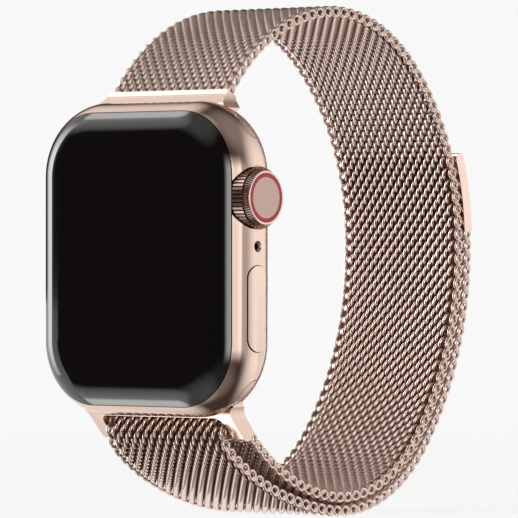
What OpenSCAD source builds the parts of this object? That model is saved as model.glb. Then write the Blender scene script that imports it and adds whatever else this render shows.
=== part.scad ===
// Smartwatch with a rounded rectangular case, a rotating crown and a woven steel loop strap.
// Frame: +X towards the crown, +Z towards 12 o'clock, -Y out of the display.
// The origin is the centre of the rear crystal's outer face, where the wrist and the charger touch.

/* [Case] */
// Width of the case across the display
case_w = 34; // [33:0.5:36]
// Height of the case from 6 to 12 o'clock
case_h = 40; // [40:0.5:42]
// Radius of the case's corners, seen from the front
corner_r = 9.5; // [9:0.1:10]
// Radius of the full-round side wall, seen in section
side_r = 5.2; // [5.1:0.05:5.3]
// Height of the rear crystal's dome above the flat rear
dome_h = 0.8; // [0.6:0.1:1]
// Depth of the glass edge below the front, at the seam
glass_t = 1.65; // [1.4:0.05:1.8]

/* [Crown and button] */
// Height of the crown's axis above the case centre
crown_z = 7.65; // [7:0.05:8]
// Outer radius of the crown
crown_r = 3.87; // [3.6:0.01:3.9]
// Number of ribs round the crown's body
crown_ribs = 48; // [36:4:72]
// Number of fine teeth round the crown's front edge
rim_teeth = 72; // [48:6:90]
// How far the crown presses in
crown_press = 0.25; // [0.1:0.05:0.3]
// Length of the side button
button_l = 10.8; // [9:0.1:11]
// Width of the side button
button_w = 3.4; // [3:0.1:3.6]
// Height of the side button's middle above the case centre
button_z = -6.25; // [-6.5:0.05:-6]

/* [Strap] */
// Width of the woven strap
strap_w = 19.4; // [18:0.1:20]
// Thickness of the woven strap
strap_t = 1.6; // [1.4:0.05:1.6]
// Spacing of the strap's two layers where they lie together
layer_pitch = 1.8; // [1.75:0.05:2]
// Length of the magnetic clasp along the strap
clasp_l = 10.7; // [9:0.1:12]

/* [Hidden] */
$fn = 64;
eps = 0.01;
long = 60; // longer than any part that it cuts

// Levels along the dial's normal, measured from the rear crystal's face.
rear_level = dome_h;
rear_cut = 4.7; // from the widest level back to the flat rear
mid_level = rear_level + rear_cut;
front_level = mid_level + side_r;
seam_gap = 0.1;
glass_level = front_level - glass_t;
rim_level = glass_level - seam_gap;
plate_level = 7.2;

// Insides of the case. A range such as [3.6, 8.1] gives two ends along the axis that it is named for.
cavity_w = 28;
cavity_h = 28.2;
front_cavity_h = 34;
cavity_corner = 3;
shelf_level = 7.0;
cover_w = 27.6;
cover_h = 29.0;
cover_corner = 6;
cover_t = 0.9;
boss = [12.4, 12.5, 1.4]; // place across, place along, radius
boss_levels = [2.3, plate_level];
screw_r = 0.45;
screw_tip = 4.6;
screw_head = [0.85, 0.32, 0.35]; // radius, height, radius of its hexagon socket
panel_t = 0.85;
plate_t = 0.4;
cable_x = [7.5, 10.7];
cable_y = [-12, -9.6];
cable_levels = [3.6, 8.1];
cable_folds = [6.8, 6.95]; // the length that lies along the shelf
cable_t = [0.15, 0.2]; // the risers, the ends

// Rear crystal, and what lies behind it.
crystal_r = 10.6;
crystal_t = 1.6;
crystal_flat = 5; // radius of the flat middle
crystal_ball = (pow(crystal_r - crystal_flat, 2) + pow(dome_h, 2)) / (2 * dome_h);
electrode = [8.22, 9.28, 0.48]; // inner radius, outer radius, top level
electrode_gap = 0.02;
coil_r = [4.8, 9.6];
coil_levels = [1.72, 2.22];
sensor_r = 4.2;
sensor_levels = [1.7, 2.3];
led = [2.4, 1.1, 0.06]; // distance from the middle, size, height

// Strap channels in the case's ends, and the lugs that slide in them.
lug_bulb = [-4.2, 16.9];
lug_bulb_r = 1.65;
lug_neck = [-4.2, 19];
lug_neck_r = 0.95;
channel_gap = 0.1;
plate_stem = 1.2; // from the end of the mesh back into the upper lug's plate
upper_half = strap_w / 2 + 0.1;
upper_flare = [21.93, 3.2, 1.8]; // height where the flare to the case begins, radius, reach
post_end = [-1.45, 21.95];
post_r = 1.1;
post_w = 1.7;
slot_half = strap_w / 2 + 0.5;
slot_top = 20.1;
slot_corner = 1.1;
lower_half = slot_half + post_w;
lower_flare = [20.5, 2.6, 0.8];
bar_r = 1.15;

// Latch pins in the lugs, pushed by release buttons in the rear of the case.
latch_z = 16.3;
latch_r = 0.55;
latch_tip = 2.95;
latch_root = 4.6;
latch_pocket = 5.5;
latch_room = [5.4, 1.8, 3.15]; // recess in the lug below the release button: across, along, level
release_l = 5;
release_w = 1.5;
release_top = 2.4;
spring_ring = [0.6, 0.35, 0.38]; // outer radius, inner radius, height

// Rubber pads in the lugs' roots.
pad_x = 6;
pad_size = [3, 0.6, 0.9]; // across, in depth, along
pad_at = [-2.7, lug_bulb[1] + 0.2];

// Strap centreline in the plane of Y and Z, as legs of [radius, turn in degrees, left is positive].
strap_start = [-2.2, 21];
strap_heading = 54;
inner_legs = [[27, -51], [23, -44], [32, -43], [39.5, -46], [20, -57], [27, -45]];
fold_r = 2.2;
fold_legs = [[fold_r, 169.5], [5.3, 24.3], [33.3, 14.6], [45.7, 16.6]];
outer_legs = [for (k = [4, 3, 2]) [inner_legs[k][0] + layer_pitch, -inner_legs[k][1]]];
strap_path = concat(inner_legs, fold_legs, outer_legs);

function leg_length(leg) = leg[0] * abs(leg[1]) * PI / 180;
function left_of(heading) = [-sin(heading), cos(heading)];
function ahead(heading) = [cos(heading), sin(heading)];
function on_leg(p, heading, leg, s) =
    let (side = sign(leg[1]), turned = side * s / leg[0] * 180 / PI)
    [p + leg[0] * side * (left_of(heading) - left_of(heading + turned)), heading + turned];
function along(s, k = 0, p = strap_start, heading = strap_heading) =
    let (leg = strap_path[k], reach = leg_length(leg))
    (s <= reach || k == len(strap_path) - 1) ? on_leg(p, heading, leg, s)
    : let (e = on_leg(p, heading, leg, reach)) along(s - reach, k + 1, e[0], e[1]);
function total(lengths, k) = k < 0 ? 0 : lengths[k] + total(lengths, k - 1);
function offset_point(s, off) = let (here = along(s)) here[0] + off * left_of(here[1]);
function strip_points(s0, s1, off0, off1, steps) = concat(
    [for (k = [0 : steps]) offset_point(s0 + (s1 - s0) * k / steps, off0)],
    [for (k = [steps : -1 : 0]) offset_point(s0 + (s1 - s0) * k / steps, off1)]);

inner_length = total([for (leg = inner_legs) leg_length(leg)], len(inner_legs) - 1);
fold_length = leg_length(fold_legs[0]);
fold_centre = let (e = along(inner_length)) e[0] + fold_r * left_of(e[1]);
first_hinge = inner_length + 12;
tail_links = 5;
link_l = 14;
mesh_end = inner_length + 83.1;
clasp_end = mesh_end + clasp_l;
function hinge_s(k) = first_hinge + k * link_l;
hinge_gap = 0.1;
strip_step = 1.2;

// Clasp: a moulded shell, with magnets and a cover plate in its wrist side.
magnet_room = [1.4, 8.2]; // along the clasp, from its mesh end
magnet_w = 17;
magnet_gap = 0.3;
magnet_offsets = [-0.36, 0.5];
magnet_floor = -0.4;
plate_offsets = [0.54, strap_t / 2 - 0.02];

// Crown, from the stem's switch outwards along +X.
crown_floor = case_w / 2 - 1.4;
knob_back = crown_floor + crown_press + 0.05;
crown_face = case_w / 2 + 1.35;
ring_r = [2.6, 3.13];
ring_t = 0.4;
groove_x = crown_face - 0.85;
groove_w = 0.15;
groove_depth = 0.45;
rib_depth = 0.16;
rim_inset = 0.18; // toothed and bevelled rim in front of the groove
rim_depth = 0.36;
rim_core = ring_r[1] + 0.17;
seat_gap = 0.18;
sleeve_x = 13.3;
sleeve_r = [1, 1.7];
shaft_r = 0.95;
plunger_x = [9.1, 9.6];
plunger_r = 1.2;
switch_x = [7.4, 8.75];
collar = [12, 1.2, 1.5]; // place, width, radius
seal_x = 14.55;
seal_r = [0.82, 0.14];
seal_groove = [14.3, 0.5, 0.65]; // place, width, radius left

// Side button, microphone and speaker openings.
button_floor = case_w / 2 - 1.15;
button_back = button_floor + 0.35;
button_proud = 0.12;
button_gap = 0.09;
button_post = [14.2, 0.55]; // inner end, radius
mic_z = 1.56;
mic_r = [0.45, 1.2];
speaker_z = [-6.2, -0.6];
speaker_slot = [1.1, 4.9];

// ---- placing helpers ----

// Stands a shape that is drawn on the dial (level along +Z) upright, display towards -Y.
module dial() {
    rotate([90, 0, 0]) children();
}

// Extrudes an outline drawn in Y and Z across the watch, centred on x.
module across(width, x = 0) {
    translate([x, 0, 0]) rotate([90, 0, 90]) linear_extrude(width, center = true) children();
}

// A shape that lies along +X from the point x, y, z.
module along_x(x, y, z) {
    translate([x, y, z]) rotate([0, 90, 0]) children();
}

// A straight bar with round ends, in the plane. Its sides run a hair inside its round ends.
module bar2d(p, q, r) {
    side = 0.99 * r * left_of(atan2(q[1] - p[1], q[0] - p[0]));
    translate(p) circle(r);
    translate(q) circle(r);
    polygon([p + side, q + side, q - side, p - side]);
}

module rounded2d(w, h, r) {
    square([w - 2 * r, h], center = true);
    square([w, h - 2 * r], center = true);
    for (x = [-1, 1], y = [-1, 1]) translate([x * (w / 2 - r), y * (h / 2 - r)]) circle(r);
}

module slab(w, h, r, low, high) {
    translate([0, 0, low]) linear_extrude(high - low) rounded2d(w, h, r);
}

module block(x, y, low, high, r = 0.4) {
    translate([(x[0] + x[1]) / 2, (y[0] + y[1]) / 2, 0])
        slab(x[1] - x[0], y[1] - y[0], r, low, high);
}

module flip_end(up) {
    if (up) children();
    else mirror([0, 0, 1]) children();
}

// ---- case ----

// Half section of the case edge: straight inwards, full-round outwards, cut flat at the levels given.
module edge2d(low, high) {
    core = corner_r - side_r;
    intersection() {
        union() {
            translate([0, mid_level - side_r]) square([core + eps, 2 * side_r]);
            translate([core, mid_level]) circle(side_r, $fn = 96);
        }
        translate([0, low]) square([corner_r + 1, high - low]);
    }
}

// The case's outer form between two levels: four turned corners, four straight sides and the middle.
module case_form(low, high) {
    straight_w = case_w - 2 * corner_r;
    straight_h = case_h - 2 * corner_r;
    for (q = [0 : 3]) {
        x = (q == 0 || q == 3) ? 1 : -1;
        y = q < 2 ? 1 : -1;
        translate([x * straight_w / 2, y * straight_h / 2, 0])
            rotate([0, 0, q * 90]) rotate_extrude(angle = 90, $fn = 96) edge2d(low, high);
    }
    for (turn = [0, 180]) rotate([0, 0, turn]) {
        translate([straight_w / 2, 0, 0])
            rotate([90, 0, 0]) linear_extrude(straight_h, center = true) edge2d(low, high);
        translate([0, straight_h / 2, 0])
            rotate([90, 0, 90]) linear_extrude(straight_w, center = true) edge2d(low, high);
    }
    form_low = max(low, mid_level - side_r);
    form_high = min(high, mid_level + side_r);
    translate([-straight_w / 2, -straight_h / 2, form_low])
        cube([straight_w, straight_h, form_high - form_low]);
}

// The strap channel's outline at one end: a round bottom behind a narrower neck.
module channel2d(end_point) {
    translate(lug_bulb) circle(lug_bulb_r + channel_gap);
    bar2d(lug_bulb, lug_neck, lug_neck_r + channel_gap);
    bar2d(lug_neck, end_point, post_r + channel_gap + 0.05);
}

lower_bar = [fold_centre[0], -fold_centre[1]]; // the loop bar, mirrored up to the upper side
upper_knuckle = along(-plate_stem)[0];

module strap_channels() {
    across(long) channel2d(upper_knuckle);
    mirror([0, 0, 1]) across(long) channel2d(post_end);
}

module release_outline(gap) {
    translate([0, latch_z]) rounded2d(release_l + 2 * gap, release_w + 2 * gap, release_w / 2 - 0.02);
}

module button_outline(gap) {
    translate([0, button_z]) rounded2d(button_w + 2 * gap, button_l + 2 * gap, button_w / 2 - 0.02);
}

module case_openings() {
    // crown seat, its sleeve's bore, microphone hole
    along_x(crown_floor, -mid_level, crown_z) cylinder(long, r = crown_r + seat_gap, $fn = 96);
    along_x(0, -mid_level, crown_z) cylinder(long, r = sleeve_r[1]);
    along_x(0, -mid_level, mic_z) cylinder(long, r = mic_r[0]);
    along_x(case_w / 2 - 0.35, -mid_level, mic_z) cylinder(1, r1 = mic_r[0], r2 = mic_r[1]);
    // side button seat and its post's bore
    translate([button_floor, -mid_level, 0])
        rotate([90, 0, 90]) linear_extrude(long) button_outline(button_gap);
    along_x(0, -mid_level, button_z) cylinder(long, r = button_post[1] + button_gap);
    // speaker slots on the other side
    for (z = speaker_z) translate([-long, -mid_level, 0])
        rotate([90, 0, 90]) linear_extrude(long)
            translate([0, z]) rounded2d(speaker_slot[0], speaker_slot[1], 0.54);
}

module case_shell() {
    color("rosybrown") {
        difference() {
            dial() case_form(rear_level, rim_level);
            dial() slab(cavity_w, cavity_h, cavity_corner, rear_level + cover_t, long);
            dial() slab(cavity_w, front_cavity_h, cavity_corner + 2, shelf_level, long);
            dial() slab(cover_w, cover_h, cover_corner, -1, rear_level + cover_t + eps);
            dial() for (s = [-1, 1])
                translate([0, 0, -1]) linear_extrude(1 + lug_bulb_r + 2) scale([1, s]) release_outline(0.08);
            strap_channels();
            case_openings();
        }
        // bosses for the midplate's screws, joined to the cavity's corners
        dial() for (x = [-1, 1], y = [-1, 1]) difference() {
            translate([x * boss[0], y * boss[1], boss_levels[0]])
                cylinder(boss_levels[1] - boss_levels[0], r = boss[2]);
            translate([x * boss[0], y * boss[1], screw_tip - 0.6]) cylinder(long, r = screw_r + 0.05);
        }
    }
}

module front_crystal() {
    color("black") dial() case_form(glass_level, front_level);
}

module front_gasket() {
    color("dimgray") dial() difference() {
        slab(case_w - 3.2, case_h - 3.0, corner_r - 1.6, rim_level, glass_level);
        slab(cavity_w + 0.4, front_cavity_h + 0.4, cavity_corner + 2.2, rim_level - 1, glass_level + 1);
    }
}

// ---- inside the case ----

module display_panel() {
    color("darkslategray") dial() slab(cavity_w - 0.6, front_cavity_h - 0.6, cavity_corner + 2,
        glass_level - 0.05 - panel_t, glass_level - 0.05);
}

module display_cable() {
    cut_x = cable_x[0] - 1;
    cut_w = cable_x[1] - cable_x[0] + 2;
    reach = cable_y[1] - cable_y[0];
    low = cable_levels[0] + cable_t[1];
    high = cable_levels[1] - cable_t[1];
    color("orange") dial() difference() {
        translate([cable_x[0], cable_y[0], cable_levels[0]])
            cube([cable_x[1] - cable_x[0], reach, cable_levels[1] - cable_levels[0]]);
        translate([cut_x, cable_y[0] + cable_t[0], low]) cube([cut_w, reach, cable_folds[0] - low]);
        translate([cut_x, cable_y[0] - cable_t[0], cable_folds[1]]) cube([cut_w, reach, high - cable_folds[1]]);
    }
}

module midplate() {
    color("silver") dial() difference() {
        slab(cavity_w - 1, cavity_h - 0.8, cavity_corner, plate_level, plate_level + plate_t);
        for (x = [-1, 1], y = [-1, 1])
            translate([x * boss[0], y * boss[1], 0]) cylinder(long, r = screw_r + 0.1);
        translate([cable_x[0] - 0.2, cable_y[0] - 0.3, 0]) cube([cable_x[1] - cable_x[0] + 0.4, 3, long]);
        slab(8, 5, 1, 0, long); // opening for the antenna's contacts
    }
}

module plate_screws() {
    seat = plate_level + plate_t;
    color("gray") dial() for (x = [-1, 1], y = [-1, 1]) translate([x * boss[0], y * boss[1], 0]) {
        translate([0, 0, screw_tip]) cylinder(seat - screw_tip + eps, r = screw_r);
        difference() {
            translate([0, 0, seat]) cylinder(screw_head[1], r = screw_head[0]);
            translate([0, 0, seat + 0.2]) cylinder(1, r = screw_head[2], $fn = 6);
        }
    }
}

module battery() {
    color("dimgray") dial() block([-8.8, 6.8], [-2.2, 13.4], 2.5, 6.8, 1);
}

module logic_board() {
    color("darkgreen") dial() block([-8.8, 7.4], [-13.4, -3], 2.5, 3.3, 1);
}

module chip_shield() {
    color("silver") dial() block([-8, 5], [-12.8, -3.6], 3.32, 4.5, 0.5);
}

module haptic_motor() {
    color("lightsteelblue") dial() block([-8.4, 5.4], [-12.8, -3.4], 4.7, 6.8, 0.8);
}

module speaker() {
    color("darkslategray") dial() difference() {
        block([-13.3, -9.4], [-9.2, 2.4], 3, 6.9, 0.5);
        block([-14, -12], [-8.4, 1.6], 4.4, 6.4, 0.4);
    }
}

module speaker_grille() {
    color("black") dial() block([-13.9, -13.4], [-9, 2.2], 4, 6.9, 0.2);
}

module microphone() {
    color("gold") dial() block([12.2, 13.8], [mic_z - 1.2, mic_z + 1.2], 4.4, 6.6, 0.3);
}

module rear_cover() {
    color("dimgray") dial() difference() {
        slab(cover_w - 0.1, cover_h - 0.1, cover_corner - 0.05, rear_level, rear_level + cover_t - 0.05);
        translate([0, 0, -1]) cylinder(long, r = crystal_r + 0.05, $fn = 96);
    }
}

module rear_crystal() {
    groove = [electrode[0] - electrode_gap, electrode[1] + electrode_gap, electrode[2] + electrode_gap];
    color("darkslategray") dial() rotate_extrude($fn = 96) difference() {
        union() {
            square([crystal_flat + eps, crystal_t]);
            intersection() {
                translate([crystal_flat, crystal_ball]) circle(crystal_ball, $fn = 180);
                translate([crystal_flat, 0]) square([crystal_r - crystal_flat, crystal_t]);
            }
        }
        translate([groove[0], -1]) square([groove[1] - groove[0], groove[2] + 1]);
    }
}

module sensor_ring() {
    color("silver") dial() rotate_extrude($fn = 180) intersection() {
        translate([crystal_flat, crystal_ball]) circle(crystal_ball, $fn = 720);
        translate([electrode[0], 0]) square([electrode[1] - electrode[0], electrode[2]]);
    }
}

module optical_sensor() {
    color("darkgreen") dial() {
        translate([0, 0, sensor_levels[0]]) cylinder(sensor_levels[1] - sensor_levels[0], r = sensor_r);
        for (turn = [0 : 90 : 270]) rotate([0, 0, turn])
            translate([led[0], 0, sensor_levels[0] - led[2]])
                linear_extrude(led[2] + eps) square(led[1], center = true);
    }
}

module charging_coil() {
    color("chocolate") dial() difference() {
        translate([0, 0, coil_levels[0]]) cylinder(coil_levels[1] - coil_levels[0], r = coil_r[1], $fn = 96);
        cylinder(long, r = coil_r[0]);
    }
}

// ---- crown ----

module crown_sleeve() {
    color("silver") difference() {
        along_x(sleeve_x, -mid_level, crown_z) cylinder(crown_floor - 0.05 - sleeve_x, r = sleeve_r[1]);
        along_x(0, -mid_level, crown_z) cylinder(long, r = sleeve_r[0]);
    }
}

module crown_plunger() {
    color("whitesmoke") along_x(plunger_x[0], -mid_level, crown_z)
        cylinder(plunger_x[1] - plunger_x[0], r = plunger_r);
}

module crown_switch() {
    color("silver") difference() {
        dial() block(switch_x, [crown_z - 1.5, crown_z + 1.5], mid_level - 1.4, mid_level + 1.2, 0.3);
        along_x(switch_x[1] - 0.25, -mid_level, crown_z) cylinder(1, r = 0.5);
    }
}

module crown_shaft() {
    color("gray") difference() {
        union() {
            along_x(plunger_x[1] + 0.05, -mid_level, crown_z)
                cylinder(knob_back - plunger_x[1] - 0.05, r = shaft_r);
            along_x(collar[0], -mid_level, crown_z) cylinder(collar[1], r = collar[2]);
        }
        along_x(seal_groove[0], -mid_level, crown_z) difference() {
            cylinder(seal_groove[1], r = 2);
            translate([0, 0, -1]) cylinder(3, r = seal_groove[2]);
        }
    }
}

module crown_seal() {
    color("black") along_x(seal_x, -mid_level, crown_z)
        rotate_extrude() translate([seal_r[0], 0]) circle(seal_r[1], $fn = 24);
}

// A toothed disc: each tooth's crest and the groove beside it, joined by slopes.
module toothed2d(r, depth, count) {
    step = 360 / count;
    polygon([for (k = [0 : count - 1], c = [[0, 0], [0.15, depth], [0.35, depth], [0.5, 0]])
        let (a = (k + c[0]) * step) (r - c[1]) * [cos(a), sin(a)]]);
}

module crown_knob() {
    rim_x = groove_x + groove_w;
    rim_w = crown_face - rim_x;
    color("rosybrown") difference() {
        union() {
            along_x(knob_back, -mid_level, crown_z)
                linear_extrude(groove_x - knob_back) toothed2d(crown_r, rib_depth, crown_ribs);
            along_x(groove_x, -mid_level, crown_z) cylinder(groove_w, r = crown_r - groove_depth, $fn = 96);
            along_x(groove_x, -mid_level, crown_z) cylinder(crown_face - groove_x, r = rim_core, $fn = 96);
            along_x(rim_x, -mid_level, crown_z) intersection() {
                linear_extrude(rim_w - 0.05) toothed2d(crown_r - rim_inset, rim_depth, rim_teeth);
                cylinder(rim_w, r1 = crown_r - rim_inset + 0.02, r2 = rim_core + 0.05, $fn = 96);
            }
        }
        along_x(crown_face - ring_t, -mid_level, crown_z) cylinder(1, r = ring_r[1], $fn = 96);
    }
}

module crown_ring() {
    color("firebrick") along_x(crown_face - ring_t, -mid_level, crown_z) difference() {
        cylinder(ring_t, r = ring_r[1], $fn = 96);
        translate([0, 0, -1]) cylinder(3, r = ring_r[0], $fn = 96);
    }
}

module crown_cap() {
    color("tan") along_x(crown_face - ring_t, -mid_level, crown_z)
        cylinder(ring_t, r = ring_r[0] - 0.01, $fn = 96);
}

// ---- side button ----

module side_button() {
    color("mistyrose") {
        intersection() {
            translate([button_back, -mid_level, 0])
                rotate([90, 0, 90]) linear_extrude(3) button_outline(0);
            translate([case_w / 2 - side_r, -mid_level, 0])
                cylinder(long, r = side_r + button_proud, center = true, $fn = 96);
        }
        along_x(button_post[0], -mid_level, button_z)
            cylinder(button_back + 0.05 - button_post[0], r = button_post[1]);
    }
}

module side_button_switch() {
    color("silver") dial() block([12.3, 13.8], [button_z - 1.8, button_z + 1.8], 4.2, 6.8, 0.3);
}

// ---- release buttons ----

module release_button(up) {
    color("rosybrown") flip_end(up) dial()
        translate([0, 0, rear_level + 0.05]) linear_extrude(release_top - rear_level - 0.05) release_outline(0);
}

module upper_release() {
    release_button(true);
}

module lower_release() {
    release_button(false);
}

// ---- lugs ----

module latch_hole(r) {
    translate([0, -latch_pocket, latch_z]) rotate([-90, 0, 0]) cylinder(latch_pocket, r = r);
}

module pad_shape(gap) {
    for (x = [-pad_x, pad_x]) translate([x, 0, 0])
        across(pad_size[0] + 2 * gap) translate([pad_at[0] - gap / 2, pad_at[1]])
            square([pad_size[1] + gap, pad_size[2] + 2 * gap], center = true);
}

// The part of a lug that fills the channel, flush with the case's corners at both ends.
module lug_insert() {
    intersection() {
        across(long) {
            translate(lug_bulb) circle(lug_bulb_r);
            bar2d(lug_bulb, lug_neck, lug_neck_r);
        }
        dial() case_form(rear_level, rim_level);
    }
}

// Outline of a lug seen from the front: straight, then flared towards the case with a hollow curve.
module flare2d(half, flare) {
    root = 17;
    far = 26;
    r = flare[1];
    difference() {
        union() {
            translate([-half, root]) square([2 * half, far - root]);
            translate([-half - flare[2], root]) square([2 * (half + flare[2]), flare[0] - root]);
        }
        for (s = [-1, 1]) translate([s * (half + r), flare[0]]) circle(r - eps);
    }
}

// A shape drawn in X and Z and carried right through along Y.
module through() {
    translate([0, long / 2, 0]) rotate([90, 0, 0]) linear_extrude(long) children();
}

module lug_details() {
    latch_hole(latch_r + 0.05);
    translate([0, 0, latch_z]) rotate([-90, 0, 0]) translate([0, 0, -latch_room[2]])
        linear_extrude(latch_room[2]) square([latch_room[0], latch_room[1]], center = true);
    pad_shape(0.02);
}

module upper_lug() {
    color("rosybrown") difference() {
        union() {
            lug_insert();
            intersection() {
                across(long) {
                    bar2d(lug_bulb, lug_neck, lug_neck_r);
                    bar2d(lug_neck, upper_knuckle, lug_neck_r);
                    polygon(strip_points(-plate_stem, 0, -strap_t / 2, strap_t / 2, 2));
                }
                through() flare2d(upper_half, upper_flare);
            }
        }
        lug_details();
    }
}

module upper_lug_pads() {
    color("black") lug_pads();
}

module lug_pads() {
    intersection() {
        pad_shape(0);
        across(long) translate(lug_bulb) circle(lug_bulb_r - 0.02);
    }
}

module lower_lug() {
    fold_room = fold_r + strap_t / 2 + 0.15;
    slot_h = 6;
    color("rosybrown") mirror([0, 0, 1]) {
        difference() {
            union() {
                lug_insert();
                intersection() {
                    across(long) {
                        bar2d(lug_bulb, lug_neck, lug_neck_r);
                        bar2d(lug_neck, post_end, post_r);
                    }
                    through() flare2d(lower_half, lower_flare);
                }
            }
            lug_details();
            across(strap_w + 0.4) translate(lower_bar) circle(fold_room);
            through() translate([0, slot_top + slot_h / 2])
                rounded2d(2 * slot_half, slot_h, slot_corner);
        }
        across(2 * slot_half + 1) translate(lower_bar) circle(bar_r);
    }
}

module lower_lug_pads() {
    color("black") mirror([0, 0, 1]) lug_pads();
}

module latch(up) {
    color("silver") flip_end(up) translate([0, -latch_root, latch_z])
        rotate([-90, 0, 0]) cylinder(latch_root - latch_tip, r = latch_r);
}

module latch_spring(up) {
    color("gray") flip_end(up) translate([0, -latch_pocket + 0.02, latch_z]) rotate([-90, 0, 0]) difference() {
        cylinder(spring_ring[2], r = spring_ring[0]);
        translate([0, 0, -1]) cylinder(3, r = spring_ring[1]);
    }
}

module upper_latch() {
    latch(true);
}

module lower_latch() {
    latch(false);
}

module upper_latch_spring() {
    latch_spring(true);
}

module lower_latch_spring() {
    latch_spring(false);
}

// ---- strap ----

// A length of strap between two places on its path, between two offsets to the left of it.
module strip(s0, s1, off0 = -strap_t / 2, off1 = strap_t / 2) {
    polygon(strip_points(s0, s1, off0, off1, ceil((s1 - s0) / strip_step)));
}

module hinge_disc(k, r) {
    translate(along(hinge_s(k))[0]) circle(r, $fn = 48);
}

module strap_loop() {
    color("peru") across(strap_w) {
        strip(0, inner_length);
        polygon(strip_points(inner_length - 0.05, inner_length + fold_length + 2,
            -strap_t / 2, strap_t / 2, 24));
        strip(inner_length + fold_length + 1.5, first_hinge);
        hinge_disc(0, strap_t / 2);
    }
}

// One link of the free end: a cup at its near end turns on the round end before it.
module tail_link(k) {
    last = k == tail_links - 1;
    color("peru") across(strap_w) difference() {
        union() {
            strip(hinge_s(k), last ? mesh_end : hinge_s(k + 1));
            if (!last) hinge_disc(k + 1, strap_t / 2);
        }
        hinge_disc(k, strap_t / 2 + hinge_gap);
    }
}

module tail_1() {
    tail_link(0);
}

module tail_2() {
    tail_link(1);
}

module tail_3() {
    tail_link(2);
}

module tail_4() {
    tail_link(3);
}

module tail_5() {
    tail_link(4);
}

// A length of the clasp between two places from its mesh end, between two offsets.
module clasp_strip(from, to, off0, off1) {
    strip(mesh_end + from, mesh_end + to, off0, off1);
}

module clasp_shell() {
    color("rosybrown") difference() {
        across(strap_w + 0.2) {
            strip(mesh_end, clasp_end - strap_t / 2);
            translate(along(clasp_end - strap_t / 2)[0]) circle(strap_t / 2, $fn = 48);
        }
        across(magnet_w + 0.2)
            clasp_strip(magnet_room[0] - 0.1, magnet_room[1] + 0.1, magnet_floor, strap_t);
    }
}

module clasp_magnets() {
    part = (magnet_w - 2 * magnet_gap) / 3;
    color("dimgray") for (k = [-1 : 1])
        across(part, k * (part + magnet_gap))
            clasp_strip(magnet_room[0], magnet_room[1], magnet_offsets[0], magnet_offsets[1]);
}

module clasp_plate() {
    color("silver") across(magnet_w)
        clasp_strip(magnet_room[0], magnet_room[1], plate_offsets[0], plate_offsets[1]);
}

case_shell();
front_crystal();
front_gasket();
display_panel();
display_cable();
midplate();
plate_screws();
battery();
logic_board();
chip_shield();
haptic_motor();
speaker();
speaker_grille();
microphone();
rear_cover();
rear_crystal();
sensor_ring();
optical_sensor();
charging_coil();
crown_sleeve();
crown_plunger();
crown_switch();
crown_shaft();
crown_seal();
crown_knob();
crown_ring();
crown_cap();
side_button();
side_button_switch();
upper_release();
lower_release();
upper_lug();
upper_lug_pads();
upper_latch();
upper_latch_spring();
lower_lug();
lower_lug_pads();
lower_latch();
lower_latch_spring();
strap_loop();
tail_1();
tail_2();
tail_3();
tail_4();
tail_5();
clasp_shell();
clasp_magnets();
clasp_plate();
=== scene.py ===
import math

import bpy
import numpy as np
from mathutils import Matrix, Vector


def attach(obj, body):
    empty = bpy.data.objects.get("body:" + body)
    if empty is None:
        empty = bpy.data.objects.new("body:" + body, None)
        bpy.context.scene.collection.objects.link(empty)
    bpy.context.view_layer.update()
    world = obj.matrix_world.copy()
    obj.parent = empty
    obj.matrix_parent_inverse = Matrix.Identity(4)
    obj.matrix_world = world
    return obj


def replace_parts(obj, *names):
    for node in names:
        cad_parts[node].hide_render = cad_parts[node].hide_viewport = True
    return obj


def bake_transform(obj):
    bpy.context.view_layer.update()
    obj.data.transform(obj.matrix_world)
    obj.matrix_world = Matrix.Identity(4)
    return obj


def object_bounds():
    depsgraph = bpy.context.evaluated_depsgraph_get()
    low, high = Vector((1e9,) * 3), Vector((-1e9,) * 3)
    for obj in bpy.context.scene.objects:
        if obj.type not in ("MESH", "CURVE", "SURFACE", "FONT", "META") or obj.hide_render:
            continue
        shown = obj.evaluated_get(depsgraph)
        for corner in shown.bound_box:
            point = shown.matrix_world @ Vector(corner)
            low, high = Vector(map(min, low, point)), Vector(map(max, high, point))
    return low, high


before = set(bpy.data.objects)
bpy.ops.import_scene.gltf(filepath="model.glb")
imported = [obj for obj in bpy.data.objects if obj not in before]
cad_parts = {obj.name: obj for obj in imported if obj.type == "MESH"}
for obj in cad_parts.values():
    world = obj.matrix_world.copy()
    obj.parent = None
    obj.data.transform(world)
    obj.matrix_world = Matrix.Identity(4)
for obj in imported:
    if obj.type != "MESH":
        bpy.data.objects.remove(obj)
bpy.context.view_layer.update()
MM = 0.001


# ---- Table, backdrop and lights -------------------------------------------------------------
# The watch stands on its strap on a pale, lit table inside a white tent. Broad soft windows in the
# tent, with darker gaps between them, are what the polished metal and the glass reflect.

table_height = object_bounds()[0][2]

CASE_DEPTH_MIDDLE = -5.5
CASE_MIDDLE = Vector((0, CASE_DEPTH_MIDDLE, 0)) * MM
VIEW_TURN = math.radians(41)
VIEW_DISTANCE = 619.3 * MM
VIEW_ASIDE = math.radians(1.22)
LENS = 338.3
SENSOR = 36

camera = bpy.data.objects.new("camera", bpy.data.cameras.new("camera"))
bpy.context.scene.collection.objects.link(camera)
camera.data.lens = LENS
camera.data.sensor_width = SENSOR
camera.data.clip_start = 0.01
camera.location = CASE_MIDDLE + VIEW_DISTANCE * Vector((math.sin(VIEW_TURN), -math.cos(VIEW_TURN), 0))
camera.rotation_euler = (math.radians(90), 0, VIEW_TURN - VIEW_ASIDE)
bpy.context.scene.camera = camera
bpy.context.scene.view_settings.view_transform = "Standard"


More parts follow.
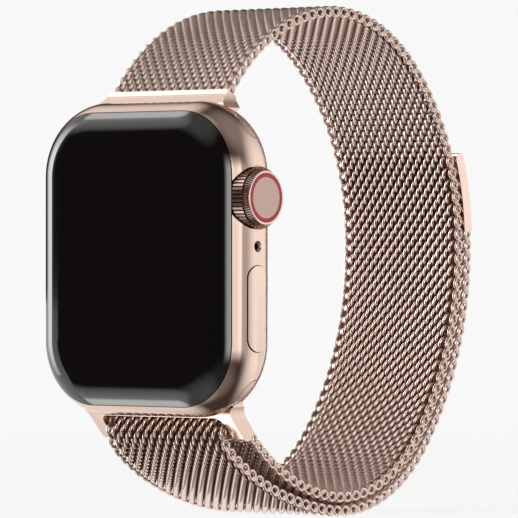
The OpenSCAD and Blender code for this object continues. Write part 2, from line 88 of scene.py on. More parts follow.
class Wire:
    """A node's output that takes part in sums: each sum adds the Math node it needs."""

    def __init__(self, graph, socket):
        self.graph = graph
        self.socket = socket

    def maths(self, operation, *values):
        sockets = dict(enumerate(values))
        return self.graph.node("ShaderNodeMath", {"operation": operation}, sockets)

    def __add__(self, other):
        return self.maths("ADD", self, other)

    def __radd__(self, other):
        return self.maths("ADD", other, self)

    def __sub__(self, other):
        return self.maths("SUBTRACT", self, other)

    def __rsub__(self, other):
        return self.maths("SUBTRACT", other, self)

    def __mul__(self, other):
        return self.maths("MULTIPLY", self, other)

    def __rmul__(self, other):
        return self.maths("MULTIPLY", other, self)

    def __truediv__(self, other):
        return self.maths("DIVIDE", self, other)

    def __pow__(self, other):
        return self.maths("POWER", self, other)

    def __mod__(self, other):
        return self.maths("FLOORED_MODULO", self, other)

    def __neg__(self):
        return self.maths("MULTIPLY", self, -1)

    def __gt__(self, other):
        return self.maths("GREATER_THAN", self, other)

    def __lt__(self, other):
        return self.maths("LESS_THAN", self, other)


class Graph:
    """A node tree, and the one way that nodes are added to it."""

    def __init__(self, tree):
        self.tree = tree

    def node(self, kind, settings=None, sockets=None, output=0):
        made = self.tree.nodes.new(kind)
        for name, value in (settings or {}).items():
            setattr(made, name, value)
        for key, value in (sockets or {}).items():
            if isinstance(value, Wire):
                self.tree.links.new(value.socket, made.inputs[key])
            else:
                made.inputs[key].default_value = value
        return Wire(self, made.outputs[output]) if made.outputs else made


def new_material(name):
    """An empty material and its graph."""
    material = bpy.data.materials.new(name)
    material.use_nodes = True
    material.node_tree.nodes.clear()
    return material, Graph(material.node_tree)


def finish_surface(graph, **sockets):
    """The shader at the end of a material. A socket's name is written with _ for each space."""
    named = {key.replace("_", " "): value for key, value in sockets.items()}
    shader = graph.node("ShaderNodeBsdfPrincipled", None, named)
    graph.node("ShaderNodeOutputMaterial", None, {"Surface": shader})


def place(graph, scale=(1, 1, 1)):
    """Object coordinates in millimetres, stretched by scale."""
    at = graph.node("ShaderNodeTexCoord", output=3)
    return graph.node("ShaderNodeMapping", None, {"Vector": at, "Scale": tuple(s / MM for s in scale)})


def mix_colours(graph, factor, low, high):
    """low where factor is 0 and high where it is 1, as colours."""
    sockets = {0: factor, 6: low, 7: high}
    for key in (6, 7):
        if not isinstance(sockets[key], Wire):
            sockets[key] = (*sockets[key], 1)
    return graph.node("ShaderNodeMix", {"data_type": "RGBA"}, sockets, output=2)


def ramp_between(graph, value, low, high, to_low=0.0, to_high=1.0):
    """A soft step: to_low where value is at or under low, to_high where it is at or over high."""
    sockets = {"Value": value, "From Min": low, "From Max": high, "To Min": to_low, "To Max": to_high}
    return graph.node("ShaderNodeMapRange", {"interpolation_type": "SMOOTHSTEP"}, sockets)


PAPER_WHITE = 0.94
TABLE_SHADE = 0.14
TABLE_SHADE_REACH = (60, 420)
TABLE_SHADE_GLOW_LOSS = 0.6
TABLE_EDGE = 8
TABLE_EDGE_FADE = 14
VIEW_AHEAD = (-math.sin(VIEW_TURN), math.cos(VIEW_TURN), 0)
VIEW_RIGHT = (math.cos(VIEW_TURN), math.sin(VIEW_TURN), 0)


def table_material():
    material, graph = new_material("lit_table")
    at = place(graph)
    away = graph.node("ShaderNodeVectorMath", {"operation": "LENGTH"}, {0: at}, output=1)
    grain = graph.node("ShaderNodeTexNoise", None, {"Vector": at, "Scale": 0.4, "Detail": 3})
    ahead = graph.node("ShaderNodeVectorMath", {"operation": "DOT_PRODUCT"}, {0: at, 1: VIEW_AHEAD},
                       output=1)
    near_edge = ramp_between(graph, ahead, TABLE_EDGE, TABLE_EDGE + TABLE_EDGE_FADE)
    shade = ramp_between(graph, away, *TABLE_SHADE_REACH, TABLE_SHADE, 0.0) * near_edge
    paint_level = shade * (0.97 + 0.06 * grain)
    paint = graph.node("ShaderNodeCombineColor", None, {key: paint_level for key in range(3)})
    glow_level = PAPER_WHITE - shade * TABLE_SHADE_GLOW_LOSS
    glow = graph.node("ShaderNodeCombineColor", None, {key: glow_level for key in range(3)})
    finish_surface(graph, Base_Color=paint, Roughness=0.9, Specular_IOR_Level=0.0,
                   Emission_Color=glow, Emission_Strength=1.0)
    return material


def flat_quad(name, corners):
    """A stage card from its four corners."""
    mesh = bpy.data.meshes.new(name)
    mesh.from_pydata(corners, [], [(0, 1, 2, 3)])
    card = bpy.data.objects.new(name, mesh)
    bpy.context.scene.collection.objects.link(card)
    return card


TABLE_REACH = 3
near = TABLE_EDGE * MM
corners = [Vector(VIEW_RIGHT) * across + Vector(VIEW_AHEAD) * ahead + Vector((0, 0, table_height))
           for across, ahead in ((-TABLE_REACH, near), (TABLE_REACH, near),
                                 (TABLE_REACH, TABLE_REACH), (-TABLE_REACH, TABLE_REACH))]
table = flat_quad("table", corners)
table.data.materials.append(table_material())

# Each window: turn from the crown's side towards the back, height, half width and softness in
# degrees, and strength. A tall strip has no height: it reaches from low to high.
TENT_WINDOWS = [(58, -5, 36, 26, 1.1), (25, 60, 26, 22, 0.2), (-60, -55, 22, 20, 0.15)]
for side in (1, -1):
    TENT_WINDOWS += [(172, side * 42, 18, 16, 0.85), (-172, side * 50, 4, 7, 3.0),
                     (-150, side * 40, 9, 12, 0.9), (-112, side * 54, 18, 18, 0.5)]
TENT_STRIPS = [(-43, 5, 9, 4.2), (-22, 15.5, 2, 0.95), (-4, 10, 12, 0.45), (-178, 12, 16, 1.0)]
STRIP_HEIGHTS = (0.12, 0.5)
TENT_GAP = (0.060, 0.045, 0.040)
TENT_SHEET = (1.0, 0.985, 0.97)


def compass(turn, height=0):
    """The direction at a turn and a height, both in degrees."""
    turn, height = math.radians(turn), math.radians(height)
    return (math.cos(turn) * math.cos(height), math.sin(turn) * math.cos(height), math.sin(height))


def edge(degrees_off):
    return math.cos(math.radians(degrees_off))


def tent_light(graph):
    """How bright the tent is in each direction, from its windows and strips."""
    towards = graph.node("ShaderNodeTexCoord", output=0)

    def facing(direction):
        return graph.node("ShaderNodeVectorMath", {"operation": "DOT_PRODUCT"},
                          {0: towards, 1: direction}, output=1)

    level = 0.0
    for turn, height, half, soft, strength in TENT_WINDOWS:
        near = facing(compass(turn, height))
        level = level + ramp_between(graph, near, edge(half + soft), edge(max(half - soft, 0)), 0.0, strength)
    for turn, half, soft, strength in TENT_STRIPS:
        aside = facing(compass(turn + 90))
        aside = aside.maths("ABSOLUTE", aside)
        sines = [math.sin(math.radians(a)) for a in (max(half - soft, 0), half + soft)]
        band = ramp_between(graph, aside, *sines, strength, 0.0)
        height = facing((0, 0, 1))
        band = band * ramp_between(graph, height.maths("ABSOLUTE", height), *STRIP_HEIGHTS, 1.0, 0.0)
        level = level + band * (facing(compass(turn)) > 0)
    return level


world = bpy.data.worlds.new("studio")
bpy.context.scene.world = world
world.use_nodes = True
world.node_tree.nodes.clear()
studio = Graph(world.node_tree)
brightness = tent_light(studio)
tent = studio.node("ShaderNodeVectorMath", {"operation": "SCALE"}, {0: TENT_SHEET, "Scale": brightness})
tent = studio.node("ShaderNodeVectorMath", {"operation": "ADD"}, {0: tent, 1: TENT_GAP})
seen = studio.node("ShaderNodeLightPath", output=0)
air = studio.node("ShaderNodeBackground", None, {"Color": tent, "Strength": 1.0})
backdrop = studio.node("ShaderNodeBackground", None, {"Color": (PAPER_WHITE,) * 3 + (1,), "Strength": 1.0})
studio.node("ShaderNodeOutputWorld", None,
            {"Surface": studio.node("ShaderNodeMixShader", None, {0: seen, 1: air, 2: backdrop})})

# One soft light stands on the plain side, level with the wrist, and lights the strap's inside.
SOFT_LIGHT_AT = Vector((-80, 22, 10)) * MM
SOFT_LIGHT_AIM = Vector((0, 44, 0)) * MM
SOFT_LIGHT_SIZE = (100 * MM, 140 * MM)
SOFT_LIGHT_WATTS = 0.024
SOFT_LIGHT_SPREAD = math.radians(60)
light = bpy.data.objects.new("soft_light", bpy.data.lights.new("soft_light", "AREA"))
bpy.context.scene.collection.objects.link(light)
light.data.shape = "RECTANGLE"
light.data.size, light.data.size_y = SOFT_LIGHT_SIZE
light.data.energy = SOFT_LIGHT_WATTS
light.data.spread = SOFT_LIGHT_SPREAD
light.location = SOFT_LIGHT_AT
light.rotation_euler = (SOFT_LIGHT_AIM - SOFT_LIGHT_AT).to_track_quat("-Z", "Y").to_euler()


# ---- Case -----------------------------------------------------------------------------------
# The case is one block of stainless steel, milled and polished all over, with a thin rose-gold
# coloured coating. Its inside is left as milled, and holds everything that follows.

ROSE = (0.83, 0.64, 0.55)
ROSE_DEEP = (0.78, 0.585, 0.495)


FINE_MARKS = 9
SLOW_TONE = 0.25


def noise(graph, scale, detail=3, stretch=(1, 1, 1)):
    """A noise over the piece, with scale in turns per millimetre."""
    return graph.node("ShaderNodeTexNoise", None,
                      {"Vector": place(graph, stretch), "Scale": scale, "Detail": detail})


def relief(graph, height, depth_mm, strength=1.0):
    return graph.node("ShaderNodeBump", None,
                      {"Strength": strength, "Distance": depth_mm * MM, "Height": height})


def polished_steel(name, low=ROSE_DEEP, high=ROSE, roughness=0.09, stretch=(1, 1, 1)):
    """Polished metal with faint polishing marks and a slow change of tone."""
    material, graph = new_material(name)
    fine = noise(graph, FINE_MARKS, 4, stretch)
    tone = mix_colours(graph, noise(graph, SLOW_TONE, 2), low, high)
    finish_surface(graph, Base_Color=tone, Metallic=1.0, Roughness=roughness + fine * 0.05,
                   Normal=relief(graph, fine, 0.01, 0.03))
    return material


def dress(node, material):
    """Gives a CAD node its material."""
    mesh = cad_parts[node].data
    mesh.materials.clear()
    mesh.materials.append(material)


case_steel = polished_steel("case_steel")
dress("case_shell", case_steel)


# ---- Front gasket ---------------------------------------------------------------------------
# A moulded silicone ring between the glass and the case. It shows only as a fine dark line.

def moulded(name, low, high, roughness=0.5, grain=6, depth_mm=0.01, metallic=0.0):
    """A matt or satin surface: a fine moulded grain in two close tones."""
    material, graph = new_material(name)
    fine = noise(graph, grain, 4)
    tone = mix_colours(graph, noise(graph, grain / 12, 3), low, high)
    finish_surface(graph, Base_Color=tone, Metallic=metallic, Roughness=roughness + fine * 0.12,
                   Normal=relief(graph, fine, depth_mm, 0.3))
    return material


black_rubber = moulded("black_rubber", (0.010, 0.010, 0.010), (0.022, 0.021, 0.020), roughness=0.6)
dress("front_gasket", black_rubber)


# ---- Front crystal --------------------------------------------------------------------------
# A thick glass bonded over the display, curved down to the case all round. It is black behind,
# so that the sleeping display can't be told from its border.

def front_glass():
    material, graph = new_material("front_glass")
    haze = noise(graph, 0.12, 3)
    tone = mix_colours(graph, haze, (0.0012, 0.0012, 0.0016), (0.0022, 0.0022, 0.0028))
    finish_surface(graph, Base_Color=tone, Roughness=0.05 + haze * 0.03, Specular_IOR_Level=0.85)
    return material


dress("front_crystal", front_glass())


# ---- Display panel and cable ----------------------------------------------------------------
# The panel is laminated to the back of the glass. A folded flexible circuit in amber film, with
# copper tracks along it, joins it to the logic board below.

def stripes(graph, axis, pitch_mm, share):
    """1 on each stripe and 0 between them, along one of the axes X, Y or Z."""
    split = graph.node("ShaderNodeSeparateXYZ", None, {0: place(graph)}, output="XYZ".index(axis))
    return (split % pitch_mm) < pitch_mm * share


def printed(name, base, track, axis, pitch_mm, share=0.4, roughness=0.4):
    """A board or film with tracks printed on it."""
    material, graph = new_material(name)
    tracks = stripes(graph, axis, pitch_mm, share)
    speckle = noise(graph, 3, 3)
    tone = mix_colours(graph, tracks * (0.6 + 0.4 * speckle), base, track)
    finish_surface(graph, Base_Color=tone, Metallic=tracks * 0.6, Roughness=roughness - tracks * 0.1,
                   Normal=relief(graph, tracks, 0.02))
    return material


dress("display_panel", moulded("panel_film", (0.010, 0.010, 0.014), (0.016, 0.016, 0.024), roughness=0.2))
dress("display_cable", printed("cable_film", (0.45, 0.20, 0.04), (0.70, 0.36, 0.12), "X", 0.3))


# ---- Midplate and screws --------------------------------------------------------------------
# A pressed aluminium plate over the insides, on four bosses, with a small socket-headed screw
# in each corner.

def brushed(name, low, high, along=(1, 0.08, 1), roughness=0.3, metallic=1.0):
    """Metal with the fine straight marks of brushing or rolling."""
    material, graph = new_material(name)
    marks = noise(graph, 7, 4, along)
    tone = mix_colours(graph, marks, low, high)
    finish_surface(graph, Base_Color=tone, Metallic=metallic, Roughness=roughness + marks * 0.15,
                   Normal=relief(graph, marks, 0.01, 0.2))
    return material


rolled_aluminium = brushed("rolled_aluminium", (0.60, 0.61, 0.63), (0.76, 0.77, 0.79))
turned_steel = brushed("turned_steel", (0.34, 0.34, 0.36), (0.52, 0.52, 0.54), along=(0.1, 1, 1))
dress("midplate", rolled_aluminium)
dress("plate_screws", turned_steel)


# ---- Battery --------------------------------------------------------------------------------
# A pouch cell in a dark grey wrap that is slightly puckered.

dress("battery", moulded("cell_wrap", (0.060, 0.062, 0.066), (0.110, 0.112, 0.118), 0.35, 1.2, 0.12))


# ---- Logic board, shield and haptic motor ---------------------------------------------------
# The board is green fibreglass with fine tracks. A pressed tin shield covers its chips, and the
# haptic motor lies over that in a satin steel can.

dress("logic_board", printed("board_mask", (0.010, 0.070, 0.030), (0.030, 0.140, 0.060), "X", 0.5))
dress("chip_shield", brushed("tinned_shield", (0.55, 0.55, 0.56), (0.72, 0.72, 0.73), (0.5, 0.5, 0.5), 0.35))
dress("haptic_motor", brushed("motor_can", (0.42, 0.45, 0.50), (0.58, 0.61, 0.66)))


# ---- Speaker, grille and microphone ---------------------------------------------------------
# The speaker is a moulded box behind two slots in the case's plain side. A woven black mesh keeps
# water out of it. The microphone is a gold-plated can behind its hole.

def fine_mesh(name, pitch_mm):
    """Black cloth of round threads, as bump and gloss."""
    material, graph = new_material(name)
    threads = stripes(graph, "Y", pitch_mm, 0.6)
    others = stripes(graph, "Z", pitch_mm, 0.6)
    woven = threads.maths("MAXIMUM", threads, others)
    tone = mix_colours(graph, woven, (0.002, 0.002, 0.002), (0.030, 0.030, 0.032))
    finish_surface(graph, Base_Color=tone, Roughness=0.7 - woven * 0.2, Normal=relief(graph, woven, 0.05))
    return material


dress("speaker", moulded("speaker_box", (0.020, 0.020, 0.022), (0.034, 0.034, 0.036)))
dress("speaker_grille", fine_mesh("speaker_cloth", 0.24))
dress("microphone", brushed("gold_plate", (0.62, 0.44, 0.16), (0.80, 0.60, 0.28), (1, 1, 1), 0.25))


# ---- Rear cover, crystal and electrode ring -------------------------------------------------
# The cover is dark glazed ceramic. A domed dark crystal is bonded in its middle, over the sensor,
# with a polished electrode ring let into it. Four clear windows show the lights behind.

WINDOW_RING = 2.4
WINDOW_RADIUS = 1.15


def rear_glass():
    material, graph = new_material("rear_glass")
    at = place(graph)
    masks = None
    for x, z in ((1, 0), (0, 1), (-1, 0), (0, -1)):
        spot = graph.node("ShaderNodeVectorMath", {"operation": "SUBTRACT"},
                          {0: at, 1: (x * WINDOW_RING, 0, z * WINDOW_RING)})
        spot = graph.node("ShaderNodeVectorMath", {"operation": "MULTIPLY"}, {0: spot, 1: (1, 0, 1)})
        off = graph.node("ShaderNodeVectorMath", {"operation": "LENGTH"}, {0: spot}, output=1)
        mask = ramp_between(graph, off, WINDOW_RADIUS - 0.08, WINDOW_RADIUS, 1.0, 0.0)
        masks = mask if masks is None else masks + mask
    haze = noise(graph, 0.3, 3)
    dark = mix_colours(graph, haze, (0.006, 0.006, 0.007), (0.011, 0.011, 0.013))
    tone = mix_colours(graph, masks, dark, (0.020, 0.075, 0.040))
    finish_surface(graph, Base_Color=tone, Roughness=0.05 + haze * 0.03)
    return material


dress("rear_cover", moulded("glazed_ceramic", (0.012, 0.012, 0.013), (0.020, 0.020, 0.022), 0.10, 1.5, 0.004))
dress("rear_crystal", rear_glass())
electrode_metal = polished_steel("electrode_metal", (0.45, 0.43, 0.42), (0.58, 0.55, 0.53), 0.12)
dress("sensor_ring", electrode_metal)


# ---- Optical sensor and charging coil -------------------------------------------------------
# Behind the crystal a small round board carries four green lights and their receivers, inside a
# flat coil of enamelled copper wire, which is wound turn on turn and glued.

COIL_WIRE = 0.3


def wound_copper():
    material, graph = new_material("wound_copper")
    flat = graph.node("ShaderNodeVectorMath", {"operation": "MULTIPLY"}, {0: place(graph), 1: (1, 0, 1)})
    radius = graph.node("ShaderNodeVectorMath", {"operation": "LENGTH"}, {0: flat}, output=1)
    # Painted shade: each turn of wire is painted dark in the crease beside the next turn and bright along its
    # top.
    bow = radius * (math.pi / COIL_WIRE)
    bow = bow.maths("SINE", bow)
    bow = bow.maths("ABSOLUTE", bow)
    tone = mix_colours(graph, bow, (0.24, 0.08, 0.03), (0.80, 0.40, 0.20))
    finish_surface(graph, Base_Color=tone, Metallic=1.0, Roughness=0.35 - 0.1 * bow,
                   Normal=relief(graph, bow, 0.1))
    return material


dress("optical_sensor", printed("sensor_board", (0.008, 0.050, 0.025), (0.030, 0.160, 0.070), "Z", 0.6))
dress("charging_coil", wound_copper())


# ---- Crown ----------------------------------------------------------------------------------
# A knob of coated steel with fine teeth cut in two bands, on a steel shaft that turns in a sleeve
# through the case, with a rubber seal. Its face is a pink-tinted disc in a red enamelled ring.
# Pressed in, the shaft's plunger works a dome switch.

def spun(name, low, high, centre_z, roughness):
    """A disc with the fine rings that turning leaves, about the crown's axis."""
    material, graph = new_material(name)
    spot = graph.node("ShaderNodeVectorMath", {"operation": "SUBTRACT"},
                      {0: place(graph), 1: (0, CASE_DEPTH_MIDDLE, centre_z)})
    spot = graph.node("ShaderNodeVectorMath", {"operation": "MULTIPLY"}, {0: spot, 1: (0, 1, 1)})
    radius = graph.node("ShaderNodeVectorMath", {"operation": "LENGTH"}, {0: spot}, output=1)
    rings = radius.maths("SINE", radius * 60)
    tone = mix_colours(graph, 0.5 + 0.5 * rings, low, high)
    finish_surface(graph, Base_Color=tone, Metallic=0.85, Roughness=roughness + 0.04 * rings,
                   Normal=relief(graph, rings, 0.002, 0.4))
    return material


CROWN_HEIGHT = 7.65
RIM_STARTS = 17.65
GROOVE_WIDTH = 0.15
LIP_RADIUS = 3.35
BACK_RIBS = 48
RIM_TEETH = 72
TOOTH_SHADE = (0.22, 0.115, 0.085)


def toothed_steel(name, low, high, roughness):
    """Coated steel with painted shade between the crown's teeth, which are finer on its rim, and in the
    groove between its two bands.
    """
    material, graph = new_material(name)
    spot = graph.node("ShaderNodeVectorMath", {"operation": "SUBTRACT"},
                      {0: place(graph), 1: (RIM_STARTS, CASE_DEPTH_MIDDLE, CROWN_HEIGHT)})
    along, side, up = (graph.node("ShaderNodeSeparateXYZ", None, {0: spot}, output=axis)
                       for axis in range(3))
    radius = (side * side + up * up) ** 0.5
    count = BACK_RIBS + (RIM_TEETH - BACK_RIBS) * (along > 0)
    angle = up.maths("ARCTAN2", up, side)
    # Painted shade: crest is 1 on the teeth and on the face inside the lip. It is 0 between the teeth and in
    # the groove between the bands, which take the dark TOOTH_SHADE.
    crest = ramp_between(graph, angle.maths("SINE", angle * count), -0.1, 0.7, 1.0, 0.0)
    crest = crest.maths("MAXIMUM", crest, radius < LIP_RADIUS)
    crest = crest * (1 - (along > -GROOVE_WIDTH) * (along < 0))
    tone = mix_colours(graph, crest, TOOTH_SHADE, mix_colours(graph, noise(graph, SLOW_TONE, 2), low, high))
    fine = noise(graph, FINE_MARKS, 4)
    finish_surface(graph, Base_Color=tone, Metallic=1.0, Roughness=roughness + fine * 0.05)
    return material


crown_steel = toothed_steel("crown_steel", (0.78, 0.60, 0.52), (0.88, 0.70, 0.62), 0.22)
dress("crown_knob", crown_steel)
dress("crown_ring", moulded("red_enamel", (0.42, 0.012, 0.022), (0.52, 0.020, 0.030), 0.25, 4, 0.003))
dress("crown_cap", spun("tinted_disc", (0.50, 0.345, 0.305), (0.57, 0.40, 0.355), CROWN_HEIGHT, 0.28))
dress("crown_shaft", turned_steel)
dress("crown_sleeve", turned_steel)
dress("crown_seal", black_rubber)
dress("crown_plunger", moulded("white_nylon", (0.62, 0.62, 0.60), (0.74, 0.74, 0.72), 0.4))
dress("crown_switch", rolled_aluminium)


# ---- Side button ----------------------------------------------------------------------------
# A long oval cap of the case's own steel, nearly flush, with a post through the case wall that
# works a switch.

button_steel = polished_steel("button_steel", (0.80, 0.61, 0.52), (0.86, 0.67, 0.58), 0.10)
dress("side_button", button_steel)
dress("side_button_switch", rolled_aluminium)


# ---- Lugs, latches and release buttons ------------------------------------------------------
# Each lug is a coated steel bar that slides into the case's channel on two rubber pads, and is
# held by a sprung pin. A release button in the case's back pushes the pin out of the way.

lug_steel = polished_steel("lug_steel", (0.76, 0.58, 0.49), (0.82, 0.64, 0.55), 0.28)
for node in ("upper_lug", "lower_lug"):
    dress(node, lug_steel)
for node in ("upper_release", "lower_release"):
    dress(node, button_steel)
for node in ("upper_lug_pads", "lower_lug_pads"):
    dress(node, black_rubber)
for node in ("upper_latch", "lower_latch", "upper_latch_spring", "lower_latch_spring"):
    dress(node, turned_steel)


# ---- Woven strap ----------------------------------------------------------------------------
# The strap is a fabric of steel wire: each row is one flat-sided spiral that runs across the strap
# and hooks through the row before it. It leaves the upper lug, runs round the wrist, folds back
# round the lower lug's bar and lies on itself, so the clasp holds it at any length.

STRAP_WIDTH = 19.4
LAYER_PITCH = 1.8
STRAP_START = np.array((-2.2, 21.0))
STRAP_HEADING = math.radians(54)
INNER_LEGS = [(27, -51), (23, -44), (32, -43), (39.5, -46), (20, -57), (27, -45)]
FOLD_LEGS = [(2.2, 169.5), (5.3, 24.3), (33.3, 14.6), (45.7, 16.6)]
OUTER_LEGS = [(radius + LAYER_PITCH, -turn) for radius, turn in INNER_LEGS[4:1:-1]]
STRAP_LEGS = INNER_LEGS + FOLD_LEGS + OUTER_LEGS


def leg_length(leg):
    return leg[0] * math.radians(abs(leg[1]))


def to_left(heading):
    return np.array((-math.sin(heading), math.cos(heading)))


def along_strap(distance):
    """The place in Y and Z, in millimetres, and the heading at a distance along the strap."""
    point, heading = STRAP_START, STRAP_HEADING
    for number, (radius, turn) in enumerate(STRAP_LEGS):
        reach = leg_length((radius, turn))
        last = number == len(STRAP_LEGS) - 1
        step = distance if last else min(distance, reach)
        side = math.copysign(1, turn)
        after = heading + side * step / radius
        point = point + radius * side * (to_left(heading) - to_left(after))
        heading = after
        distance -= step
        if distance <= 0:
            break
    return point, heading


def leg_end(legs):
    return sum(leg_length(leg) for leg in legs)


ROW_PITCH = 0.825
WIRE_RADIUS = 0.225
ROW_REACH = 0.8
ROW_DEPTH = 0.57
BODY_TURNS = 13.5
END_TURNS = 1.25
END_SHRINK = 0.42
SHRINK_TURNS = 0.6
STEPS_PER_TURN = 12
WIRE_SIDES = 6
# Painted shade deep in the weave: it fades out over the first range, in mm from the strap's middle surface,
# it is kept mostly off a band along each edge, and WEAVE_SHADE is its colour.
PAINTED_SHADE_FADE = (0.26, 0.70)
UNSHADED_EDGE = 0.75
WEAVE_SHADE = (0.30, 0.13, 0.08)
LINK = 14
FIRST_HINGE = leg_end(INNER_LEGS) + 12
MESH_END = leg_end(INNER_LEGS) + 83.1
LINKS = 5


def within_one(graph, value):
    """The value, kept from 0 to 1."""
    return graph.node("ShaderNodeClamp", None, {"Value": value})


def weave_tree():
    """Puts a wire spiral across the strap at each of the path's points, turned to its heading."""
    tree = bpy.data.node_groups.new("weave", "GeometryNodeTree")
    graph = Graph(tree)
    tree.interface.new_socket("Geometry", in_out="OUTPUT", socket_type="NodeSocketGeometry")
    tree.interface.new_socket("Path", in_out="INPUT", socket_type="NodeSocketGeometry")
    for name, value in (("Width", STRAP_WIDTH * MM), ("Wire Radius", WIRE_RADIUS * MM),
                        ("Reach", ROW_REACH * MM), ("Depth", ROW_DEPTH * MM),
                        ("End Shrink", END_SHRINK)):
        socket = tree.interface.new_socket(name, in_out="INPUT", socket_type="NodeSocketFloat")
        socket.default_value = value
    socket = tree.interface.new_socket("Wire", in_out="INPUT", socket_type="NodeSocketMaterial")
    given = tree.nodes.new("NodeGroupInput")
    inputs = {s.name: Wire(graph, s) for s in given.outputs if s.name}

    profile = graph.node("GeometryNodeCurvePrimitiveCircle", {"mode": "RADIUS"},
                         {"Resolution": WIRE_SIDES, "Radius": inputs["Wire Radius"]})
    rows = tree.nodes.new("GeometryNodeJoinGeometry")
    for short in (True, False):
        end_turns = 0 if short else END_TURNS
        body_turns = BODY_TURNS - 1 if short else BODY_TURNS
        turns = body_turns + 2 * end_turns
        steps = round(turns * STEPS_PER_TURN)
        turned = graph.node("GeometryNodeInputIndex") * (turns / steps)
        from_end = turned.maths("MINIMUM", turned, turns - turned)
        body_share = within_one(graph, (turned - end_turns) / body_turns)
        width = (inputs["Width"] - 2 * inputs["Wire Radius"]) * (body_turns / BODY_TURNS)
        spread = 1
        if not short:
            grown = within_one(graph, from_end / SHRINK_TURNS)
            spread = inputs["End Shrink"] + (1 - inputs["End Shrink"]) * grown
        angle = (turned - end_turns) * math.tau
        reach = angle.maths("COSINE", angle) * inputs["Reach"] * spread
        depth = angle.maths("SINE", angle) * inputs["Depth"] * spread
        across = width * (body_share - 0.5)
        spot = graph.node("ShaderNodeCombineXYZ", None, {"X": across, "Y": -reach, "Z": depth})
        line = graph.node("GeometryNodeCurvePrimitiveLine", {"mode": "POINTS"})
        line = graph.node("GeometryNodeResampleCurve", None, {"Curve": line, "Count": steps + 1})
        line = graph.node("GeometryNodeSetPosition", None, {"Geometry": line, "Position": spot})
        wire = graph.node("GeometryNodeCurveToMesh", None,
                          {"Curve": line, "Profile Curve": profile, "Fill Caps": True})
        wire = graph.node("GeometryNodeSetShadeSmooth", None, {"Geometry": wire})
        height = graph.node("ShaderNodeSeparateXYZ", None,
                            {0: graph.node("GeometryNodeInputPosition")}, output=2)
        wire = graph.node("GeometryNodeStoreNamedAttribute", {"data_type": "FLOAT", "domain": "POINT"},
                          {"Geometry": wire, "Name": "off_middle", "Value": height / MM})
        row = graph.node("GeometryNodeGeometryToInstance", None, {"Geometry": wire})
        tree.links.new(row.socket, rows.inputs[0])
    heading = graph.node("GeometryNodeInputNamedAttribute", {"data_type": "FLOAT"}, {"Name": "heading"})
    parity = graph.node("GeometryNodeInputNamedAttribute", {"data_type": "INT"}, {"Name": "parity"})
    turn = graph.node("ShaderNodeCombineXYZ", None, {"X": heading})
    woven = graph.node("GeometryNodeInstanceOnPoints", None, {
        "Points": inputs["Path"], "Instance": Wire(graph, rows.outputs[0]), "Pick Instance": True,
        "Instance Index": parity, "Rotation": turn})
    woven = graph.node("GeometryNodeRealizeInstances", None, {"Geometry": woven})
    woven = graph.node("GeometryNodeSetMaterial", None, {"Geometry": woven, "Material": inputs["Wire"]})
    made = tree.nodes.new("NodeGroupOutput")
    tree.links.new(woven.socket, made.inputs[0])
    return tree


weave = weave_tree()


def woven_steel():
    """Painted shade: the coating is painted dark and less metallic deep in the weave, and bright on the faces
    and along the strap's edges.
    """
    material, graph = new_material("woven_steel")
    fine = noise(graph, FINE_MARKS, 4)
    off = graph.node("ShaderNodeAttribute", {"attribute_name": "off_middle"}, output=2)
    # Painted shade mask: 0 deep in the weave, near the strap's middle surface, rising to 1 on the faces, and
    # mostly kept off the strap's edges.
    unshaded = ramp_between(graph, off.maths("ABSOLUTE", off), *PAINTED_SHADE_FADE)
    aside = graph.node("ShaderNodeSeparateXYZ", None, {0: place(graph)})
    half = STRAP_WIDTH / 2
    edges = ramp_between(graph, aside.maths("ABSOLUTE", aside),
                         half - UNSHADED_EDGE, half - UNSHADED_EDGE / 2)
    unshaded = unshaded.maths("MAXIMUM", unshaded, edges * 0.75)
    bright = mix_colours(graph, noise(graph, SLOW_TONE, 2), (0.86, 0.68, 0.60), (0.95, 0.79, 0.71))
    tone = mix_colours(graph, unshaded, WEAVE_SHADE, bright)
    finish_surface(graph, Base_Color=tone, Metallic=0.5 + unshaded * 0.5,
                   Roughness=0.30 - unshaded * 0.16 + fine * 0.05, Normal=relief(graph, fine, 0.01, 0.03))
    return material


wire_finish = woven_steel()


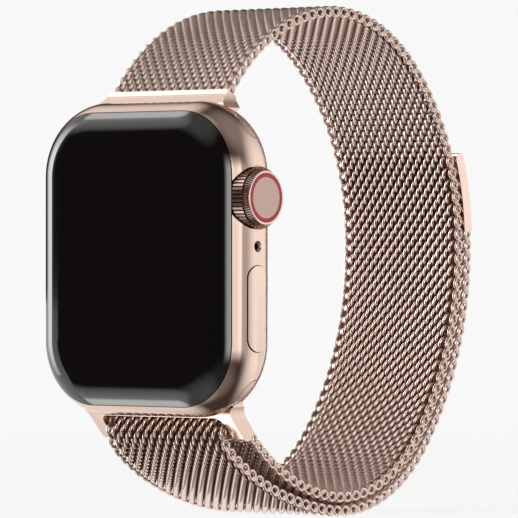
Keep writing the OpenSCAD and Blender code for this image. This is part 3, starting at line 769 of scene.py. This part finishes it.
def weave_rows(name, first, last):
    """One length of strap, from row first up to row last, as a plain mesh."""
    path = bpy.data.meshes.new(name)
    places = [along_strap((row + 0.5) * ROW_PITCH) for row in range(first, last)]
    path.from_pydata([(0, point[0] * MM, point[1] * MM) for point, heading in places], [], [])
    headings = [heading for point, heading in places]
    path.attributes.new("heading", "FLOAT", "POINT").data.foreach_set("value", headings)
    parities = [row % 2 for row in range(first, last)]
    path.attributes.new("parity", "INT", "POINT").data.foreach_set("value", parities)
    piece = bpy.data.objects.new(name, path)
    bpy.context.scene.collection.objects.link(piece)
    nodes = piece.modifiers.new("weave", "NODES")
    nodes.node_group = weave
    for socket in weave.interface.items_tree:
        if socket.in_out == "INPUT" and socket.name == "Wire":
            nodes[socket.identifier] = wire_finish
    bpy.context.view_layer.update()
    whole = bpy.data.meshes.new_from_object(piece.evaluated_get(bpy.context.evaluated_depsgraph_get()))
    piece.modifiers.remove(nodes)
    piece.data = whole
    bpy.data.meshes.remove(path)
    whole.name = name
    return piece


def row_at(distance):
    return round(distance / ROW_PITCH)


def strap_point(distance):
    point = along_strap(distance)[0]
    return (0, point[0] * MM, point[1] * MM)


first_tail = row_at(FIRST_HINGE - LINK / 2)
half_loop = first_tail // 2
for name, first, last in (("loop_weave_upper", 0, half_loop), ("loop_weave_lower", half_loop, first_tail)):
    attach(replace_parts(weave_rows(name, first, last), "strap_loop"), "strap")

for number in range(1, LINKS + 1):
    hinge = FIRST_HINGE + (number - 1) * LINK
    end = MESH_END if number == LINKS else hinge + LINK / 2
    piece = weave_rows(f"tail_weave_{number}", row_at(hinge - LINK / 2), row_at(end))
    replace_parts(piece, f"tail_{number}")
    strap_point(hinge - LINK / 2)
    strap_point(hinge + LINK / 2)
    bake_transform(piece)


# ---- Clasp ----------------------------------------------------------------------------------
# A folded steel bar at the strap's free end, in the strap's coating. Three flat magnets lie in
# its wrist side under a plain steel plate, and hold to the strap below.

dress("clasp_shell", polished_steel("clasp_steel", (0.80, 0.62, 0.54), (0.86, 0.68, 0.60), 0.10))
dress("clasp_magnets", moulded("magnet_plate", (0.24, 0.24, 0.25), (0.34, 0.34, 0.35), 0.3, metallic=0.9))
dress("clasp_plate", rolled_aluminium)
